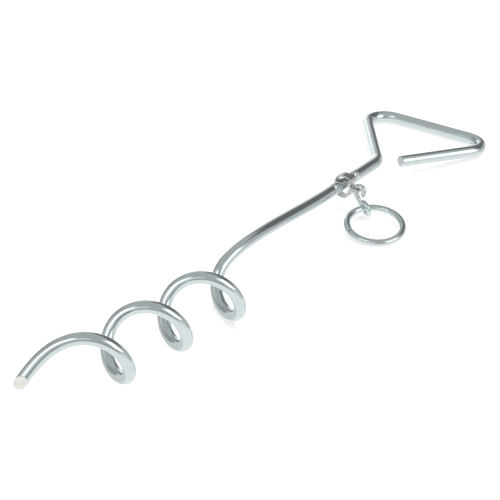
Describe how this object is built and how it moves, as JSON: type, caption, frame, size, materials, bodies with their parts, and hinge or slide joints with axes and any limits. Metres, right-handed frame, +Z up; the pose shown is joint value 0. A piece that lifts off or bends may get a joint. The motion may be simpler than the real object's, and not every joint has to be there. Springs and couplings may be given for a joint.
{
  "type": "tent stake",
  "caption": "Screw-in ground stake bent from one steel rod, with a triangular grip and a collar, link and pull ring that swivel on its shank.",
  "frame": {"origin": "on the ground, in the middle of the underside of the part's box, with the stake lying at rest on its screw and its grip", "axes": "+X along the stake from the point towards the grip, +Y across the grip, to the left when looking along +X, +Z up"},
  "size_m": [0.4898, 0.1008, 0.074],
  "materials": {
    "rod_plating": "bright zinc plating, polished, on drawn steel rod",
    "strap_plating": "satin zinc plating on rolled steel strip",
    "wire_plating": "bright zinc plating on bent steel wire",
    "ring_plating": "bright zinc plating on bent steel wire"
  },
  "bodies": {
    "root": {"stake_rod": "rod_plating"},
    "collar": {"swivel_strap": "strap_plating"},
    "link": {"swivel_link": "wire_plating"},
    "ring": {"pull_ring": "ring_plating"}
  },
  "joints": [
    {"name": "collar_turn", "type": "hinge", "parent": "root", "child": "collar", "pos_m": [0.10712, 0.00461, 0.01946], "axis": [0.9934, 0, -0.1148], "continuous": true},
    {"name": "link_swing", "type": "hinge", "parent": "collar", "child": "link", "pos_m": [0.10688, -0.00816, 0.01741], "axis": [0.9922, 0.0016, -0.1247], "range_deg": [-130, 45]},
    {"name": "ring_swing", "type": "hinge", "parent": "link", "child": "ring", "pos_m": [0.10298, -0.01532, 0.00818], "axis": [0.7466, -0.6652, 0], "range_deg": [-40, 145]}
  ]
}
